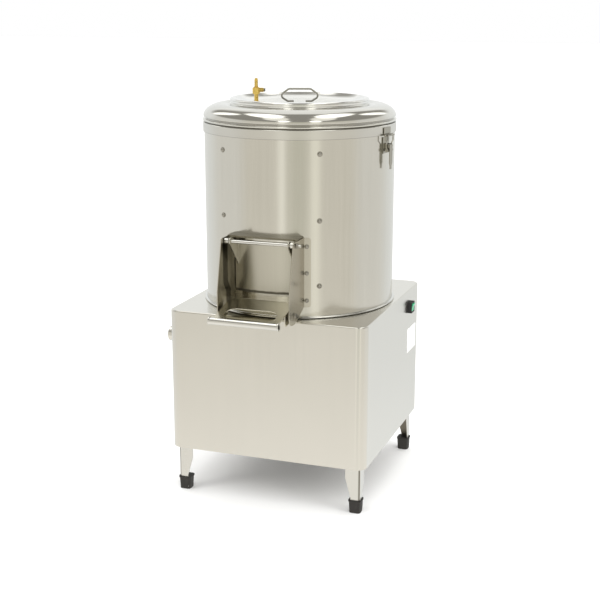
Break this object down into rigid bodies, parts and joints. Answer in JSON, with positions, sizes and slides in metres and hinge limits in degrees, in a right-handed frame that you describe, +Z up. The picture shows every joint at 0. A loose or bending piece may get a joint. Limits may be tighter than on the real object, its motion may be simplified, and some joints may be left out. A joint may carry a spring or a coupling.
{
  "type": "electric potato peeler",
  "caption": "Floor-standing stainless peeling machine: square cabinet on legs, round drum with lid, front discharge door with lock lever, toggle latches, rocker switch and side drain.",
  "frame": {"origin": "centre of the bounding box on the floor, under the feet", "axes": "+Z up along the drum's axis, -Y to the front where the discharge door is, +X to the side with the switch"},
  "size_m": [0.6128, 0.678, 1.0478],
  "materials": {
    "brushed_steel": "vertically brushed stainless sheet, warm grey",
    "satin_steel": "satin stainless sheet, light grey",
    "polished_steel": "polished stainless steel",
    "rubber": "black moulded rubber",
    "gasket_rubber": "dark grey sealing rubber",
    "abrasive": "cast aluminium coated with dark abrasive grit",
    "brass": "turned brass",
    "black_plastic": "matte black",
    "green_plastic": "glossy green",
    "cast_iron": "machined grey iron",
    "motor_paint": "dark blue-grey enamel"
  },
  "bodies": {
    "machine": {"drum": "brushed_steel", "chute_side_left": "brushed_steel", "chute_side_right": "brushed_steel", "chute_hood": "brushed_steel", "chute_sill": "brushed_steel", "leg_front_left": "brushed_steel", "leg_front_right": "brushed_steel", "leg_rear_left": "brushed_steel", "leg_rear_right": "brushed_steel", "clamp_strip_front_left": "brushed_steel", "clamp_strip_front_right": "brushed_steel", "clamp_strip_rear_left": "brushed_steel", "clamp_strip_rear_right": "brushed_steel", "cabinet_shell": "satin_steel", "rear_panel": "satin_steel", "drain_pipe": "satin_steel", "motor_bracket": "satin_steel", "cover_ring": "polished_steel", "hinge_rod": "polished_steel", "hinge_nut_left": "polished_steel", "hinge_nut_right": "polished_steel", "pivot_bolt_left": "polished_steel", "pivot_bolt_right": "polished_steel", "strike_left": "polished_steel", "strike_right": "polished_steel", "latch_base_left": "polished_steel", "latch_base_right": "polished_steel", "upper_bearing": "polished_steel", "lower_bearing": "polished_steel", "foot_front_left": "rubber", "foot_front_right": "rubber", "foot_rear_left": "rubber", "foot_rear_right": "rubber", "shaft_seal": "rubber", "v_belt": "rubber", "abrasive_liner": "abrasive", "cable_gland": "black_plastic", "switch_bezel": "black_plastic", "bearing_housing": "cast_iron", "motor_body": "motor_paint"},
    "peeling_disc_and_shaft": {"drive_shaft": "polished_steel", "peeling_disc": "abrasive", "disc_nut": "polished_steel", "driven_pulley": "cast_iron"},
    "motor_rotor": {"motor_shaft": "polished_steel", "motor_pulley": "cast_iron"},
    "discharge_door": {"discharge_door": "brushed_steel", "door_gasket": "gasket_rubber"},
    "lock_lever": {"lock_lever": "brushed_steel", "lever_grip": "polished_steel"},
    "latch_lever_right": {"latch_lever_right": "polished_steel"},
    "latch_lever_left": {"latch_lever_left": "polished_steel"},
    "latch_bail_right": {"latch_bail_right": "polished_steel"},
    "latch_bail_left": {"latch_bail_left": "polished_steel"},
    "lid": {"lid": "polished_steel", "lid_handle": "polished_steel", "inlet_valve": "brass", "spray_nozzle": "brass"},
    "flow_screw": {"flow_screw": "polished_steel"},
    "switch_rocker": {"switch_rocker": "green_plastic"}
  },
  "joints": [
    {"name": "disc_spin", "type": "hinge", "parent": "machine", "child": "peeling_disc_and_shaft", "pos_m": [0.03361, 0.06165, 0.503], "axis": [0, 0, 1], "continuous": true},
    {"name": "motor_spin", "type": "hinge", "parent": "machine", "child": "motor_rotor", "pos_m": [0.03361, 0.22665, 0.335], "axis": [0, 0, 1], "continuous": true},
    {"name": "door_hinge", "type": "hinge", "parent": "machine", "child": "discharge_door", "pos_m": [0.03361, -0.22235, 0.677], "axis": [-1, 0, 0], "range_deg": [0, 70]},
    {"name": "lever_pivot", "type": "hinge", "parent": "machine", "child": "lock_lever", "pos_m": [0.03361, -0.23635, 0.511], "axis": [1, 0, 0], "range_deg": [0, 60]},
    {"name": "latch_throw_right", "type": "hinge", "parent": "machine", "child": "latch_lever_right", "pos_m": [0.28227, 0.0178, 0.892], "axis": [-0.1736, -0.9848, 0], "range_deg": [0, 90]},
    {"name": "latch_throw_left", "type": "hinge", "parent": "machine", "child": "latch_lever_left", "pos_m": [-0.21506, 0.1055, 0.892], "axis": [0.1736, 0.9848, 0], "range_deg": [0, 90]},
    {"name": "bail_swing_right", "type": "hinge", "parent": "latch_lever_right", "child": "latch_bail_right", "pos_m": [0.28227, 0.0178, 0.882], "axis": [-0.1736, -0.9848, 0], "range_deg": [-76, 1]},
    {"name": "bail_swing_left", "type": "hinge", "parent": "latch_lever_left", "child": "latch_bail_left", "pos_m": [-0.21506, 0.1055, 0.882], "axis": [0.1736, 0.9848, 0], "range_deg": [-76, 1]},
    {"name": "lid_lift", "type": "slide", "parent": "machine", "child": "lid", "axis": [0, 0, 1], "range_m": [0, 0.2]},
    {"name": "flow_screw_turn", "type": "hinge", "parent": "lid", "child": "flow_screw", "pos_m": [-0.06999, 0.02466, 1.01855], "axis": [0.9418, 0.3363, 0], "range_deg": [0, 270]},
    {"name": "rocker_tip", "type": "hinge", "parent": "machine", "child": "switch_rocker", "pos_m": [0.30071, 0.21365, 0.4368], "axis": [0, -1, 0], "range_deg": [0, 20]}
  ],
  "couplings": [
    {"joint": "motor_spin", "follows": "disc_spin", "ratio": 3.8136},
    {"joint": "bail_swing_right", "follows": "latch_throw_right", "ratio": -0.8327},
    {"joint": "bail_swing_left", "follows": "latch_throw_left", "ratio": -0.8327}
  ]
}
